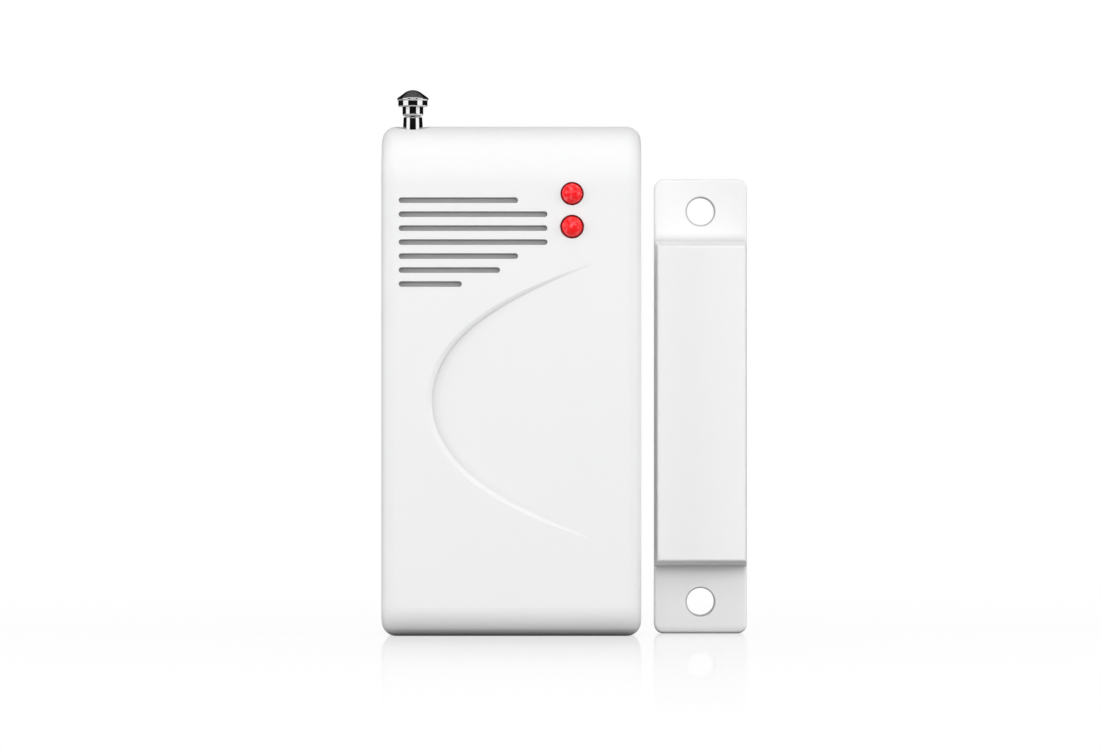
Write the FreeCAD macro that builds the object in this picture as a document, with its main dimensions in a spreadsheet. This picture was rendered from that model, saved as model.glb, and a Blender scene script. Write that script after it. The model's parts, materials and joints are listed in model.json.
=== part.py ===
import FreeCAD, Part
import math
import os
import re
import Sketcher

# Wireless magnetic door contact: a transmitter in a two-part case with a telescopic antenna,
# and the slim magnet unit that stands beside it.
# Frame: origin at the centre of the transmitter's back face, +X to the right as seen from the
# front, +Y into the wall that it is fixed to, +Z up. Lengths are in millimetres.

os.makedirs("parts", exist_ok=True)
doc = FreeCAD.newDocument("MagneticDoorContact")
sheet = doc.addObject("Spreadsheet::Sheet", "Sizes")
V = FreeCAD.Vector

SIZES = {
    # how far a cutting shape runs on past the face that it opens
    "past": 1.0,
    # transmitter case
    "case_height": 70.0,
    "case_depth": 16.0,
    "back_depth": 6.0,
    "wall": 1.6,
    "back_floor": 1.5,
    "side_roll": 2.0,
    "top_roll": 7.8,
    "bottom_roll": 4.0,
    "inside_corner": 0.7,
    "back_edge": 0.5,
    "rim_edge": 0.12,
    "rim_wall": 0.8,
    "rim_depth": 1.3,
    "lip_height": 1.1,
    "lip_root": 0.5,
    "lip_clearance": 0.1,
    # slots in the front, from the highest down
    "slot_from_side": 2.44,
    "slot_from_top": 10.32,
    "slot_to_lamp": 3.39,
    "slot_pitch": 1.91,
    "slot_width": 0.72,
    "slot_depth": 1.1,
    "slot_1_short": 4.02,
    "slot_2_short": 0.0,
    "slot_3_short": 0.0,
    "slot_4_short": 0.0,
    "slot_5_short": 4.02,
    "slot_6_short": 6.49,
    "slot_7_short": 11.71,
    # curved relief in the front: a parabola that opens to the right and flares at its ends
    "relief_from_side": 6.0,
    "relief_tip_z": -2.85,
    "relief_focal": 5.75,
    "relief_flare": 14.5,
    "relief_half_height": 23.0,
    "relief_depth": 0.75,
    "relief_fade_from_side": 6.5,
    "relief_roll": 1.05,
    "relief_lip": 0.8,
    "relief_lip_share": 0.97,
    # lamps
    "led_from_side": 9.48,
    "led_from_top": 9.4,
    "led_pitch": 4.52,
    "led_radius": 1.5,
    "led_clearance": 0.1,
    "led_proud": 0.9,
    "led_length": 5.2,
    "led_flange_radius": 1.8,
    "led_flange": 0.9,
    "led_lead_spacing": 2.54,
    "led_lead_radius": 0.24,
    "lead_stick_out": 0.8,
    # circuit board
    "board_thickness": 1.2,
    "board_behind_antenna": 0.1,
    "board_side_gap": 0.7,
    "board_top_gap": 0.4,
    "board_above_bottom": 15.5,
    "hole_clearance": 0.15,
    "post_radius": 2.2,
    "board_screw_1_from_side": 9.2,
    "board_screw_1_from_top": 10.0,
    "board_screw_2_from_side": 7.3,
    "board_screw_2_above_end": 4.0,
    "board_screw_radius": 0.9,
    "board_screw_head": 1.7,
    "board_screw_head_height": 1.2,
    "board_screw_length": 6.0,
    # screws that hold the two shells together
    "case_screw_x": 0.0,
    "case_screw_from_top": 6.0,
    "case_screw_above_end": 4.1,
    "case_screw_radius": 1.05,
    "case_screw_head": 1.9,
    "case_screw_head_height": 1.4,
    "case_screw_sunk": 1.2,
    "case_screw_length": 9.0,
    "boss_radius": 2.4,
    "boss_foot_radius": 3.0,
    "boss_gap": 0.1,
    "boss_board_gap": 0.4,
    "thread_clearance": 0.04,
    "pilot_spare": 0.5,
    # shares of a screw: how much of the head's radius is flat, rounded and crossed, how much of
    # its height is upright, and how blunt its point is
    "head_flat_share": 0.75,
    "head_round_share": 0.4,
    "cross_share": 0.62,
    "head_side_share": 0.4,
    "point_share": 0.4,
    "cross_width": 0.5,
    "cross_depth": 0.6,
    # keyhole slots in the back
    "keyhole_below_screw": 14.0,
    "keyhole_above_screw": 7.4,
    "keyhole_rise": 5.0,
    "keyhole_entry_radius": 3.3,
    "keyhole_slot_radius": 1.7,
    # battery and its hatch
    "battery_radius": 5.15,
    "battery_length": 28.5,
    "battery_nub_radius": 2.6,
    "battery_nub_length": 1.0,
    "battery_edge": 0.5,
    "battery_above_bottom": 8.5,
    "battery_end_room": 1.95,
    "battery_floor_gap": 0.5,
    "cradle_clearance": 0.15,
    "cradle_x": 8.0,
    "cradle_thickness": 1.2,
    "bay_wall_thickness": 1.0,
    "bay_wall_gap": 0.45,
    "contact_thickness": 0.4,
    "contact_width": 7.0,
    "contact_gap": 0.05,
    "contact_leg": 1.5,
    "contact_leg_rise": 2.3,
    "leaf_bow": 0.8,
    "hatch_from_side": 2.8,
    "hatch_height": 12.0,
    "hatch_low": 2.6,
    "hatch_clearance": 0.15,
    "hatch_sunk": 0.1,
    "tongue_x": 8.0,
    "tongue_width": 5.0,
    "tongue_reach": 0.8,
    "tongue_thickness": 1.0,
    "tongue_root": 1.2,
    "latch_width": 8.0,
    "latch_drop": 0.4,
    "grip_from_top": 2.0,
    "grip_half_width": 5.0,
    "grip_pitch": 0.95,
    "grip_width": 0.45,
    "grip_depth": 0.4,
    # telescopic antenna
    "antenna_from_side": 4.22,
    "antenna_y": -8.7,
    "antenna_radius": 1.42,
    "antenna_neck_in": 0.12,
    "antenna_wall": 0.2,
    "antenna_lip": 0.14,
    "antenna_lip_height": 0.5,
    "antenna_slide_gap": 0.03,
    "antenna_proud": 1.3,
    "antenna_above_end": 9.0,
    "antenna_plug": 2.9,
    "section_above_plug": 0.2,
    "section_foot": 1.0,
    "antenna_hole_clearance": 0.1,
    "dish_radius": 2.4,
    "dish_depth": 0.9,
    "knob_gap": 0.1,
    "knob_neck_radius": 1.44,
    "knob_neck_height": 1.32,
    "knob_round": 0.34,
    "knob_cap_radius": 2.03,
    "knob_cap_height": 0.83,
    "knob_rim_round": 0.25,
    "knob_rim_height": 0.45,
    "knob_dome_height": 1.03,
    "knob_tip_half": 1.2,
    "knob_tip_rise": 0.417,
    "lug_width": 3.0,
    "lug_length": 6.0,
    "lug_thickness": 2.2,
    "lug_hole_drop": 3.3,
    "plug_in_lug": 0.5,
    "antenna_screw_radius": 0.95,
    "antenna_screw_head": 1.8,
    "antenna_screw_head_height": 1.2,
    "antenna_screw_length": 3.0,
    # reed switch
    "reed_from_side": 3.9,
    "reed_z": -3.75,
    "reed_radius": 1.1,
    "reed_length": 14.0,
    "reed_glass_wall": 0.25,
    "reed_seal_clearance": 0.01,
    "reed_shoulder": 0.66,
    "reed_lift": 0.3,
    "reed_lead_radius": 0.25,
    "reed_lead_out": 2.6,
    "reed_blade_width": 1.0,
    "reed_blade_thickness": 0.2,
    "reed_blade_overlap": 1.2,
    "reed_blade_gap": 0.12,
    # parts on the board
    "chip_x": -2.0,
    "chip_z": 8.0,
    "chip_width": 7.5,
    "chip_length": 11.6,
    "chip_height": 2.3,
    "chip_lift": 0.1,
    "pin_pitch": 1.27,
    "pin_width": 0.42,
    "pin_thickness": 0.25,
    "pin_reach": 1.4,
    "pin_foot": 0.8,
    "resonator_x": 5.6,
    "resonator_z": -6.0,
    "resonator_radius": 4.2,
    "resonator_height": 3.0,
    "resonator_flange": 0.45,
    "resonator_flange_height": 0.5,
    "resonator_edge": 0.3,
    "transistor_from_antenna": 4.58,
    "transistor_z": -2.5,
    "transistor_pitch": 4.0,
    "transistor_width": 2.9,
    "transistor_height": 1.3,
    "transistor_thickness": 1.1,
    "choke_x": -4.2,
    "choke_z": -5.6,
    "choke_radius": 1.2,
    "choke_length": 6.0,
    "choke_waist": 0.2,
    "choke_waist_half": 1.35,
    "choke_shoulder_half": 1.65,
    "choke_lift": 0.1,
    "capacitor_from_antenna": 3.58,
    "capacitor_z": 16.5,
    "capacitor_pitch": 4.0,
    "resistor_x": -4.0,
    "resistor_z": 18.5,
    "resistor_pitch": 2.5,
    "lower_row_x": 5.0,
    "lower_row_z": 2.3,
    "lower_row_pitch": 2.5,
    "chip_part_length": 2.0,
    "chip_part_width": 1.25,
    "chip_part_thickness": 0.8,
    "header_x": 8.6,
    "header_z": 10.5,
    "header_width": 5.08,
    "header_length": 10.16,
    "header_height": 2.5,
    "header_pin": 0.64,
    "header_pin_out": 3.0,
    "header_pitch": 2.54,
    "header_clearance": 0.02,
    "cap_width": 2.3,
    "cap_height": 3.4,
    "cap_clearance": 0.06,
    "cap_lift": 0.05,
    # magnet unit
    "magnet_gap": 1.92,
    "magnet_width": 12.84,
    "magnet_height": 62.9,
    "tab_thickness": 3.0,
    "magnet_depth": 11.0,
    "magnet_corner": 1.3,
    "tab_edge": 0.4,
    "hole_edge": 0.25,
    "block_low": 9.38,
    "block_high": 8.47,
    "block_end_draft": 0.87,
    "block_side_draft": 0.35,
    "block_edge": 0.3,
    "magnet_hole_radius": 1.9,
    "magnet_hole_upper": 4.45,
    "magnet_hole_lower": 4.4,
    "bar_width": 9.0,
    "bar_length": 40.0,
    "bar_thickness": 7.5,
    "bar_edge": 0.3,
    "bar_clearance": 0.2,
    "plate_thickness": 1.2,
    "plate_rim": 0.6,
    "plate_clearance": 0.1,
}

# Places that follow from the sizes. Each is an expression in the names above.
PLACES = {
    "case_width": "battery_length + battery_end_room * 2 + wall * 2",
    "half_width": "case_width / 2",
    "top": "case_height / 2",
    "bottom": "-case_height / 2",
    "front": "-case_depth",
    "split": "-back_depth",
    "inner_half": "half_width - wall",
    "inner_top": "top - wall",
    "inner_bottom": "bottom + wall",
    "inner_front": "front + wall",
    "floor_in": "-back_floor",
    "antenna_x": "-half_width + antenna_from_side",
    "led_x": "half_width - led_from_side",
    "led_upper_z": "top - led_from_top",
    "led_lower_z": "led_upper_z - led_pitch",
    "slot_left": "-half_width + slot_from_side",
    "slot_right": "led_x - slot_to_lamp",
    "slot_top": "top - slot_from_top",
    "relief_tip_x": "-half_width + relief_from_side",
    "relief_fade_x": "half_width - relief_fade_from_side",
    "board_front": "antenna_y + antenna_radius + board_behind_antenna",
    "board_back": "board_front + board_thickness",
    "board_half": "inner_half - board_side_gap",
    "board_top": "inner_top - board_top_gap",
    "board_bottom": "bottom + board_above_bottom",
    "board_screw_1_x": "-half_width + board_screw_1_from_side",
    "board_screw_1_z": "top - board_screw_1_from_top",
    "board_screw_2_x": "half_width - board_screw_2_from_side",
    "board_screw_2_z": "board_bottom + board_screw_2_above_end",
    "case_screw_upper_z": "top - case_screw_from_top",
    "case_screw_lower_z": "board_bottom + case_screw_above_end",
    "keyhole_upper_z": "case_screw_upper_z - keyhole_below_screw",
    "keyhole_lower_z": "case_screw_lower_z + keyhole_above_screw",
    "battery_y": "floor_in - battery_floor_gap - battery_radius",
    "battery_z": "bottom + battery_above_bottom",
    "battery_end": "battery_length / 2",
    "hatch_half_width": "half_width - hatch_from_side",
    "hatch_bottom": "bottom + hatch_low",
    "hatch_top": "hatch_bottom + hatch_height",
    "bay_roof": "battery_z + battery_radius + bay_wall_gap",
    "antenna_top": "top + antenna_proud",
    "antenna_bottom": "board_bottom + antenna_above_end",
    "section_bottom": "antenna_bottom + antenna_plug + section_above_plug",
    "base_in": "antenna_radius - antenna_wall",
    "base_lip": "base_in - antenna_lip",
    "second_out": "base_lip - antenna_slide_gap",
    "second_foot": "base_in - antenna_slide_gap",
    "second_in": "second_out - antenna_wall",
    "second_lip": "second_in - antenna_lip",
    "third_out": "second_lip - antenna_slide_gap",
    "third_foot": "second_in - antenna_slide_gap",
    "third_in": "third_out - antenna_wall",
    "third_lip": "third_in - antenna_lip",
    "rod_radius": "third_lip - antenna_slide_gap",
    "rod_foot": "third_in - antenna_slide_gap",
    "reed_x": "half_width - reed_from_side",
    "reed_y": "board_front - reed_lift - reed_radius",
    "capacitor_x": "antenna_x + capacitor_from_antenna",
    "transistor_x": "antenna_x + transistor_from_antenna",
    "magnet_left": "half_width + magnet_gap",
    "magnet_right": "magnet_left + magnet_width",
    "magnet_x": "magnet_left + magnet_width / 2",
    "magnet_top": "bottom + magnet_height",
    "block_bottom": "bottom + block_low",
    "block_top": "magnet_top - block_high",
    "block_z": "(block_bottom + block_top) / 2",
    "cavity_half": "bar_width / 2 + bar_clearance",
    "cavity_low": "block_z - bar_length / 2 - bar_clearance",
    "cavity_high": "block_z + bar_length / 2 + bar_clearance",
    "cavity_front": "-plate_thickness - bar_thickness - bar_clearance * 2",
}

SLOT_COUNT = 7
EDGE_MARGIN = 0.1
GRIP_GROOVE_COUNT = 5
PIN_COUNT = 9
HEADER_ROW_COUNT = 4
CAPPED_ROWS = (0, 2)

WORD = re.compile(r"[a-z][a-z_0-9]*")


def fill_sheet():
    """One row a size: its name, its value and, as the value's alias, the name again."""
    for row, (name, size) in enumerate(SIZES.items(), 1):
        sheet.set("A%d" % row, name)
        sheet.set("B%d" % row, str(size))
        sheet.setAlias("B%d" % row, name)
    doc.recompute()


def bound(text):
    """The expression with each size written as its cell of the sheet."""

    def one(word):
        name = word.group()
        if name in PLACES:
            return "(" + bound(PLACES[name]) + ")"
        return "Sizes." + name if name in SIZES else name

    return WORD.sub(one, str(text))


def value(text):
    """What the expression comes to now, in millimetres."""

    def one(word):
        name = word.group()
        if name in PLACES:
            return "(%r)" % value(PLACES[name])
        return repr(float(sheet.get(name)))

    return float(FreeCAD.Units.Quantity(WORD.sub(one, str(text)).replace("--", "+")).Value)


def bind(thing, **sizes):
    for name, text in sizes.items():
        thing.setExpression(name, bound(text))


def place(thing, x="0", y="0", z="0"):
    for axis, text in (("x", x), ("y", y), ("z", z)):
        thing.setExpression(".Placement.Base." + axis, bound(text))
    return thing


def turn(thing, axis, degrees):
    thing.Placement = FreeCAD.Placement(V(), FreeCAD.Rotation(axis, degrees))
    return thing


# Part primitives and booleans


def block(name, x, y, z):
    """A box from a pair of expressions along each axis: where it starts and where it ends."""
    box = doc.addObject("Part::Box", name)
    sides = ["(%s) - (%s)" % (end, start) for start, end in (x, y, z)]
    bind(box, Length=sides[0], Width=sides[1], Height=sides[2])
    return place(box, x[0], y[0], z[0])


def rod(name, radius, length, x, y, z, axis="z"):
    """A cylinder that starts at x, y, z and runs along the named axis."""
    cylinder = doc.addObject("Part::Cylinder", name)
    if axis == "y":
        turn(cylinder, V(1, 0, 0), -90)
    if axis == "x":
        turn(cylinder, V(0, 1, 0), 90)
    bind(cylinder, Radius=radius, Height=length)
    return place(cylinder, x, y, z)


def fuse(name, *shapes):
    joined = doc.addObject("Part::MultiFuse", name)
    joined.Shapes = list(shapes)
    return joined


def cut(name, base, tool):
    result = doc.addObject("Part::Cut", name)
    result.Base = base
    result.Tool = tool
    return result


def group(name, *pieces):
    """Separate solids that count as one node."""
    bundle = doc.addObject("Part::Compound", name)
    bundle.Links = list(pieces)
    return bundle


# Part design bodies and sketches


def new_body(name):
    body = doc.addObject("PartDesign::Body", name)
    body.Label = name
    return body


def new_sketch(body, name, plane, offset="0"):
    """A sketch on one of the body's own origin planes, moved along that plane's normal."""
    sketch = body.newObject("Sketcher::SketchObject", name)
    face = [part for part in body.Origin.OriginFeatures if part.Role == plane][0]
    sketch.AttachmentSupport = [(face, "")]
    sketch.MapMode = "FlatFace"
    sketch.setExpression(".AttachmentOffset.Base.z", bound(offset))
    return sketch


def hold(sketch, kind, first, point, text):
    """Ties one coordinate of a point, or a radius, to an expression."""
    if kind == "Radius":
        index = sketch.addConstraint(Sketcher.Constraint(kind, first, value(text)))
    elif text == "0":
        axis = -2 if kind == "DistanceX" else -1
        sketch.addConstraint(Sketcher.Constraint("PointOnObject", first, point, axis))
        return
    else:
        index = sketch.addConstraint(Sketcher.Constraint(kind, -1, 1, first, point, value(text)))
    sketch.setExpression("Constraints[%d]" % index, bound(text))


def arc_between(start, end, radius, turning):
    """The short arc from start to end. turning is 1 to the left and -1 to the right."""
    half = (end - start) * 0.5
    rise = math.sqrt(max(radius**2 - half.Length**2, 0.0))
    side = V(-half.y, half.x, 0).normalize() * (rise * turning)
    centre = start + half + side
    ends = (start, end) if turning > 0 else (end, start)
    angles = [math.atan2(p.y - centre.y, p.x - centre.x) for p in ends]
    if angles[1] < angles[0]:
        angles[1] += 2 * math.pi
    return Part.ArcOfCircle(Part.Circle(centre, V(0, 0, 1), radius), *angles)


def closed(sketch, corners):
    """A closed outline. A corner is (x, y), or (x, y, radius, turning) where an arc leaves it."""
    spots = [V(value(c[0]), value(c[1]), 0) for c in corners]
    ends = []
    for i, corner in enumerate(corners):
        start, end = spots[i], spots[(i + 1) % len(spots)]
        if len(corner) == 2:
            edge = sketch.addGeometry(Part.LineSegment(start, end), False)
            ends.append((edge, 1, 2))
        else:
            arc = arc_between(start, end, value(corner[2]), corner[3])
            edge = sketch.addGeometry(arc, False)
            ends.append((edge, 1, 2) if corner[3] > 0 else (edge, 2, 1))
    for i, (edge, first, last) in enumerate(ends):
        after, its_first, _ = ends[(i + 1) % len(ends)]
        sketch.addConstraint(Sketcher.Constraint("Coincident", edge, last, after, its_first))
    for corner, (edge, first, last) in zip(corners, ends):
        hold(sketch, "DistanceX", edge, first, corner[0])
        hold(sketch, "DistanceY", edge, first, corner[1])
        if len(corner) > 2:
            hold(sketch, "Radius", edge, 0, corner[2])
    return sketch


def circle(sketch, x, y, radius):
    centre = V(value(x), value(y), 0)
    ring = sketch.addGeometry(Part.Circle(centre, V(0, 0, 1), value(radius)), False)
    hold(sketch, "DistanceX", ring, 3, x)
    hold(sketch, "DistanceY", ring, 3, y)
    hold(sketch, "Radius", ring, 0, radius)
    return sketch


def rectangle(sketch, left, right, low, high):
    return closed(sketch, [(left, low), (right, low), (right, high), (left, high)])


def rounded(sketch, left, right, low, high, radius):
    """A rectangle with round corners, drawn anticlockwise."""
    r = " + (%s)" % radius
    s = " - (%s)" % radius
    corners = [(left + r, low), (right + s, low, radius, 1)]
    corners += [(right, low + r), (right, high + s, radius, 1)]
    corners += [(right + s, high), (left + r, high, radius, 1)]
    corners += [(left, high + s), (left, low + r, radius, 1)]
    return closed(sketch, corners)


def obround(sketch, left, right, middle, half):
    """A slot with round ends that runs along the sketch's x axis from left to right."""
    radius = value(half)
    y = value(middle)
    start = V(value(left) + radius, y, 0)
    end = V(value(right) - radius, y, 0)
    up = V(0, radius, 0)
    low = sketch.addGeometry(Part.LineSegment(start - up, end - up), False)
    right_end = sketch.addGeometry(arc_between(end - up, end + up, radius, 1), False)
    high = sketch.addGeometry(Part.LineSegment(end + up, start + up), False)
    left_end = sketch.addGeometry(arc_between(start + up, start - up, radius, 1), False)
    for first, second in ((low, right_end), (right_end, high), (high, left_end), (left_end, low)):
        sketch.addConstraint(Sketcher.Constraint("Tangent", first, 2, second, 1))
    for end_arc, x in ((right_end, "(%s) - %s" % (right, half)), (left_end, "(%s) + %s" % (left, half))):
        hold(sketch, "DistanceX", end_arc, 3, x)
        hold(sketch, "DistanceY", end_arc, 3, middle)
        hold(sketch, "Radius", end_arc, 0, half)
    return sketch


def pad(body, name, sketch, length, both_ways=False, backwards=False):
    feature = body.newObject("PartDesign::Pad", name)
    feature.Profile = sketch
    feature.Midplane = both_ways
    feature.Reversed = backwards
    bind(feature, Length=length)
    return feature


def pocket(body, name, sketch, depth, backwards=False):
    feature = body.newObject("PartDesign::Pocket", name)
    feature.Profile = sketch
    feature.Reversed = backwards
    bind(feature, Length=depth)
    return feature


def turned(name, outline):
    """A body of revolution about its own z axis from an outline in (radius, height)."""
    body = new_body(name)
    sketch = closed(new_sketch(body, name + "_outline", "XZ_Plane"), outline)
    feature = body.newObject("PartDesign::Revolution", name + "_turned")
    feature.Profile = sketch
    feature.ReferenceAxis = (sketch, ["V_Axis"])
    feature.Angle = 360
    return body


def edges_where(feature, test):
    """The names of the feature's edges whose ends and middle all pass the test."""
    doc.recompute()
    names = []
    for i, edge in enumerate(feature.Shape.Edges, 1):
        middle = edge.valueAt((edge.FirstParameter + edge.LastParameter) / 2)
        points = [vertex.Point for vertex in edge.Vertexes] + [middle]
        if all(test(point) for point in points):
            names.append("Edge%d" % i)
    return names


def soften(body, name, feature, edges, radius, kind="Fillet"):
    rounding = body.newObject("PartDesign::" + kind, name)
    rounding.Base = (feature, edges)
    bind(rounding, **{"Radius" if kind == "Fillet" else "Size": radius})
    return rounding


def near(a, b):
    return abs(a - b) < 1e-4


def plate(name, left, right, low, high, radius, y_front, y_back):
    """A plate with round corners that lies against the wall plane, between two depths."""
    body = new_body(name)
    sketch = new_sketch(body, name + "_outline", "XZ_Plane", "-(%s)" % y_back)
    rounded(sketch, left, right, low, high, radius)
    pad(body, name + "_pad", sketch, "(%s) - (%s)" % (y_back, y_front))
    return body


def screw(name, head, head_height, radius, length):
    """A pan-head screw with a cross recess, its head's top at the origin and its shank along -z."""
    shoulder = "-(%s)" % head_height
    tip = "-(%s) - (%s)" % (head_height, length)
    round_off = "%s * head_round_share" % head
    body = turned(
        name,
        [
            ("0", "0"),
            ("0", tip),
            ("%s * point_share" % radius, tip),
            (radius, "(%s) + %s" % (tip, radius)),
            (radius, shoulder),
            (head, shoulder),
            (head, "(%s) + %s * head_side_share" % (shoulder, head_height), round_off, 1),
            ("%s * head_flat_share" % head, "0"),
        ],
    )
    half = "cross_width / 2"
    arm = "%s * cross_share" % head
    sketch = new_sketch(body, name + "_cross", "XY_Plane")
    corners = [(half, half), (half, arm), ("-" + half, arm), ("-" + half, half)]
    corners += [("-" + arm, half), ("-" + arm, "-" + half), ("-" + half, "-" + half)]
    corners += [("-" + half, "-" + arm), (half, "-" + arm), (half, "-" + half)]
    corners += [(arm, "-" + half), (arm, half)]
    pocket(body, name + "_recess", closed(sketch, corners), "cross_depth")
    return body


def side_profile(body, name, y_open, low, high, depth, low_roll, high_roll):
    """The case seen from its side, open towards the wall: a small roll below, a large one above."""
    sketch = new_sketch(body, name, "YZ_Plane")
    corners = [(y_open, low)]
    corners += [("front + bottom_roll", low, low_roll, -1)]
    corners += [(depth, "bottom + bottom_roll"), (depth, "top - top_roll", high_roll, -1)]
    corners += [("front + top_roll", high), (y_open, high)]
    return closed(sketch, corners)


def case_form(name, y_open, low, high, depth, low_roll, high_roll, width, corner):
    """The case's front half as a solid, or the space inside it, with its side edges rounded."""
    body = new_body(name)
    sketch = side_profile(body, name + "_profile", y_open, low, high, depth, low_roll, high_roll)
    solid = pad(body, name + "_pad", sketch, width, both_ways=True)
    half = value(width) / 2
    open_y = value(y_open)
    edges = edges_where(solid, lambda p: near(abs(p.x), half))
    back = edges_where(solid, lambda p: near(p.y, open_y))
    soften(body, name + "_rolls", solid, [e for e in edges if e not in back], corner)
    return body


def relief_cutter():
    """The space of the curved relief: its floor leans, so that it is deepest at the curve's tip
    and fades to nothing at the right, and its wall is an elliptical roll that steepens inwards."""
    front = value("front")
    tip = V(value("relief_tip_x"), front, value("relief_tip_z"))
    rise = value("relief_half_height")
    reach = rise**2 / (4 * value("relief_focal"))
    flare = value("relief_flare")
    offsets = (reach + flare, -flare, flare - reach / 3, -flare, reach + flare)
    curve = Part.BezierCurve()
    curve.setPoles([tip + V(offset, 0, rise * (1 - i / 2)) for i, offset in enumerate(offsets)])
    edge = curve.toShape()
    chord = Part.makeLine(edge.Vertexes[-1].Point, edge.Vertexes[0].Point)
    over = value("relief_roll")
    inside = Part.Face(Part.Wire([edge, chord]))
    inside.translate(V(0, -over, 0))
    inside = inside.extrude(V(0, 2 * over, 0))

    run = value("relief_fade_x") - tip.x
    lean = math.atan2(value("relief_depth"), run)
    far = 2 * (run + rise)
    half_space = Part.makeBox(2 * far, over, 2 * far, V(-far, -over, -far))
    half_space.rotate(V(), V(0, 0, 1), -math.degrees(lean))
    half_space.translate(V(value("relief_fade_x"), front, 0))

    lip = value("relief_lip")
    spine = edge.copy()
    spine.translate(V(0, lip * value("relief_lip_share"), 0))
    start = spine.valueAt(0)
    outwards = spine.tangentAt(0).cross(V(0, 1, 0)).normalize()
    ring = Part.Ellipse(start + outwards * over, start + V(0, lip, 0), start).toShape()
    roll = Part.Wire([spine]).makePipeShell([Part.Wire([ring])], True, False)

    cutter = doc.addObject("Part::Feature", "relief_cutter")
    cutter.Shape = inside.common(half_space).cut(roll)
    return cutter


def front_fittings():
    """What stands inside the front shell: screw posts, battery cradles and the bay's wall."""
    parts = []
    for i in ("1", "2"):
        x, z = "board_screw_%s_x" % i, "board_screw_%s_z" % i
        length = "board_front - front"
        parts.append(rod("board_post_" + i, "post_radius", length, x, "front", z, "y"))
    for level in ("upper", "lower"):
        z = "case_screw_%s_z" % level
        length = "split - front"
        parts.append(rod("case_post_" + level, "boss_radius", length, "case_screw_x", "front", z, "y"))
    bay = ("inner_bottom - wall", "bay_roof")
    cradles = []
    for name, middle in (("left", "-cradle_x"), ("right", "cradle_x")):
        x = (middle + " - cradle_thickness / 2", middle + " + cradle_thickness / 2")
        cradles.append(block("cradle_" + name, x, ("front", "battery_y"), bay))
    seat = rod(
        "cradle_seat",
        "battery_radius + cradle_clearance",
        "case_width",
        "-half_width",
        "battery_y",
        "battery_z",
        "x",
    )
    parts.append(cut("cradles", fuse("cradle_blocks", *cradles), seat))
    wall_z = ("bay_roof", "bay_roof + bay_wall_thickness")
    parts.append(block("bay_wall", ("-battery_end", "battery_end"), ("front", "split"), wall_z))
    return fuse("front_fittings", *parts)


def rim_ring(name, outer, corner, y_front, y_back):
    """A ring that follows the case's wall on the inside, for the joint of the two shells."""
    outside = plate(
        name + "_outside",
        "-(%s)" % outer,
        outer,
        "bottom + (half_width - (%s))" % outer,
        "top - (half_width - (%s))" % outer,
        corner,
        y_front,
        y_back,
    )
    inside = plate(
        name + "_inside",
        "-inner_half",
        "inner_half",
        "inner_bottom",
        "inner_top",
        "inside_corner",
        "(%s) - past" % y_front,
        "(%s) + past" % y_back,
    )
    return cut(name, outside, inside)


def front_shell():
    blank = case_form(
        "front_blank",
        "split",
        "bottom",
        "top",
        "front",
        "bottom_roll",
        "top_roll",
        "case_width",
        "side_roll",
    )
    sketch = new_sketch(blank, "slot_outlines", "XZ_Plane", "case_depth")
    for i in range(1, SLOT_COUNT + 1):
        level = "slot_top - slot_pitch * %d" % (i - 1)
        obround(sketch, "slot_left", "slot_right - slot_%d_short" % i, level, "slot_width / 2")
    pocket(blank, "slots", sketch, "slot_depth")
    sketch = new_sketch(blank, "lamp_outlines", "XZ_Plane", "case_depth")
    for level in ("upper", "lower"):
        circle(sketch, "led_x", "led_%s_z" % level, "led_radius + led_clearance")
    lamp_holes = pocket(blank, "lamp_holes", sketch, "wall + past")
    front, split = value("front"), value("split")
    flat_x = value("half_width - side_roll") - EDGE_MARGIN
    flat_z = value("top - top_roll") - EDGE_MARGIN, value("bottom + bottom_roll") + EDGE_MARGIN
    rims = edges_where(
        lamp_holes,
        lambda p: near(p.y, front) and abs(p.x) < flat_x and flat_z[1] < p.z < flat_z[0],
    )
    rounded_rims = soften(blank, "front_rims", lamp_holes, rims, "rim_edge")
    parting = edges_where(rounded_rims, lambda p: near(p.y, split))
    soften(blank, "front_parting_edge", rounded_rims, parting, "rim_edge")

    core = case_form(
        "front_core",
        "split + past",
        "inner_bottom",
        "inner_top",
        "inner_front",
        "bottom_roll - wall",
        "top_roll - wall",
        "case_width - wall * 2",
        "inside_corner",
    )
    hollow = cut("front_hollow", core, front_fittings())
    rebate = rim_ring(
        "front_rebate",
        "half_width - rim_wall",
        "side_roll - rim_wall",
        "split - rim_depth",
        "split + past",
    )

    tools = [hollow, rebate]
    for i in ("1", "2"):
        x, z = "board_screw_%s_x" % i, "board_screw_%s_z" % i
        radius = "board_screw_radius + thread_clearance"
        depth = "board_screw_length - board_thickness + pilot_spare"
        start = "board_front - (%s)" % depth
        tools.append(rod("board_pilot_" + i, radius, "(%s) + past" % depth, x, start, z, "y"))
    for level in ("upper", "lower"):
        radius = "case_screw_radius + thread_clearance"
        start = "-case_screw_sunk - case_screw_head_height - case_screw_length - pilot_spare"
        z = "case_screw_%s_z" % level
        length = "split + past - (%s)" % start
        tools.append(rod("case_pilot_" + level, radius, length, "case_screw_x", start, z, "y"))
    hole = rod(
        "antenna_hole",
        "antenna_radius + antenna_hole_clearance",
        "wall * 2 + dish_depth",
        "antenna_x",
        "antenna_y",
        "inner_top - wall",
    )
    dish = turned(
        "antenna_dish",
        [
            ("0", "top - dish_depth"),
            ("dish_radius - dish_depth", "top - dish_depth", "dish_depth", 1),
            ("dish_radius", "top"),
            ("dish_radius", "top + past"),
            ("0", "top + past"),
        ],
    )
    place(dish, "antenna_x", "antenna_y")
    tools += [hole, dish]
    cup = cut("front_cup", blank, fuse("front_tools", *tools))
    return cut("front_shell", cup, relief_cutter())


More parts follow.
